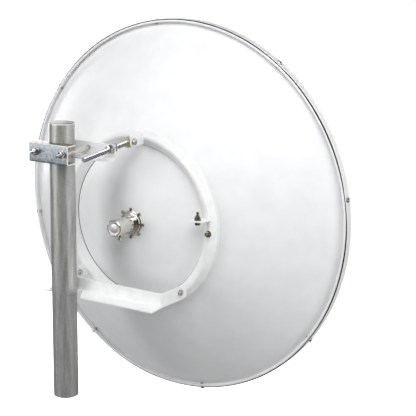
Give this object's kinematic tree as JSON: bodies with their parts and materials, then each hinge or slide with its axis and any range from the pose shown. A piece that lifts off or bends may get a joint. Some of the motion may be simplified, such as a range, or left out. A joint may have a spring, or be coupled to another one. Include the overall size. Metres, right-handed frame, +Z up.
{
  "type": "microwave dish antenna",
  "caption": "Round white microwave dish antenna with a flat radome and a short metal feed behind it, on a tilting bracket clamped to a galvanised pole stub",
  "frame": {"origin": "centre of the flat lower end of the pole stub", "axes": "+Z up along the pole, +Y the way the dish looks (away from the pole), +X to the right seen from behind the dish"},
  "size_m": [1.204, 0.5461, 1.204],
  "materials": {
    "galvanised_pipe": "hot-dip galvanised, dull",
    "zinc_steel": "bluish zinc plating",
    "yellow_zinc": "yellow passivated zinc",
    "bolt_steel": "stainless, satin",
    "white_steel": "white powder coat",
    "white_dish": "white paint on spun sheet",
    "radome_skin": "off-white satin plastic",
    "black_seal": "matt black rubber",
    "feed_metal": "turned, bare",
    "connector_metal": "plated brass"
  },
  "bodies": {
    "pole": {"pole_pipe": "galvanised_pipe", "pole_cap": "galvanised_pipe", "pole_foot_plug": "galvanised_pipe"},
    "mount": {"clamp_channel": "zinc_steel", "clamp_stud_left": "zinc_steel", "clamp_stud_right": "zinc_steel", "clamp_nut_front_left": "zinc_steel", "clamp_nut_front_right": "zinc_steel", "clamp_nut_back_left": "zinc_steel", "clamp_nut_back_right": "zinc_steel", "upper_bracket": "white_steel", "spine_bar": "white_steel", "lower_bracket": "white_steel", "tilt_nut_front": "zinc_steel", "tilt_nut_back": "zinc_steel"},
    "dish": {"reflector": "white_dish", "rim_seal": "black_seal", "radome": "radome_skin", "rim_screw_1": "bolt_steel", "rim_screw_2": "bolt_steel", "rim_screw_3": "bolt_steel", "rim_screw_4": "bolt_steel", "rim_screw_5": "bolt_steel", "rim_screw_6": "bolt_steel", "rim_screw_7": "bolt_steel", "rim_screw_8": "bolt_steel", "mounting_ring": "white_steel", "ring_tab": "white_steel", "eye_bolt": "bolt_steel", "pivot_lug_left": "white_steel", "pivot_lug_right": "white_steel", "pivot_bolt_left": "bolt_steel", "pivot_bolt_right": "bolt_steel", "side_lug": "white_steel", "side_lug_bolt": "bolt_steel", "ring_bolt": "bolt_steel", "feed_housing": "feed_metal", "feed_flange": "feed_metal", "feed_screw_1": "bolt_steel", "feed_screw_2": "bolt_steel", "feed_screw_3": "bolt_steel", "feed_screw_4": "bolt_steel", "feed_screw_5": "bolt_steel", "feed_screw_6": "bolt_steel", "feed_screw_7": "bolt_steel", "feed_screw_8": "bolt_steel", "n_connector": "connector_metal"},
    "rod": {"tilt_rod": "zinc_steel", "rod_eye": "yellow_zinc"}
  },
  "joints": [
    {"name": "azimuth", "type": "hinge", "parent": "pole", "child": "mount", "pos_m": [0, 0, 0.5], "axis": [0, 0, 1], "range_deg": [-180, 180]},
    {"name": "elevation", "type": "hinge", "parent": "mount", "child": "dish", "pos_m": [0.139, 0.13, 0.353], "axis": [1, 0, 0], "range_deg": [-10, 5]},
    {"name": "rod_swing", "type": "hinge", "parent": "dish", "child": "rod", "pos_m": [0.154, 0.125, 0.792], "axis": [1, 0, 0], "range_deg": [-3, 6]}
  ],
  "couplings": [
    {"joint": "rod_swing", "follows": "elevation", "ratio": -0.535}
  ]
}
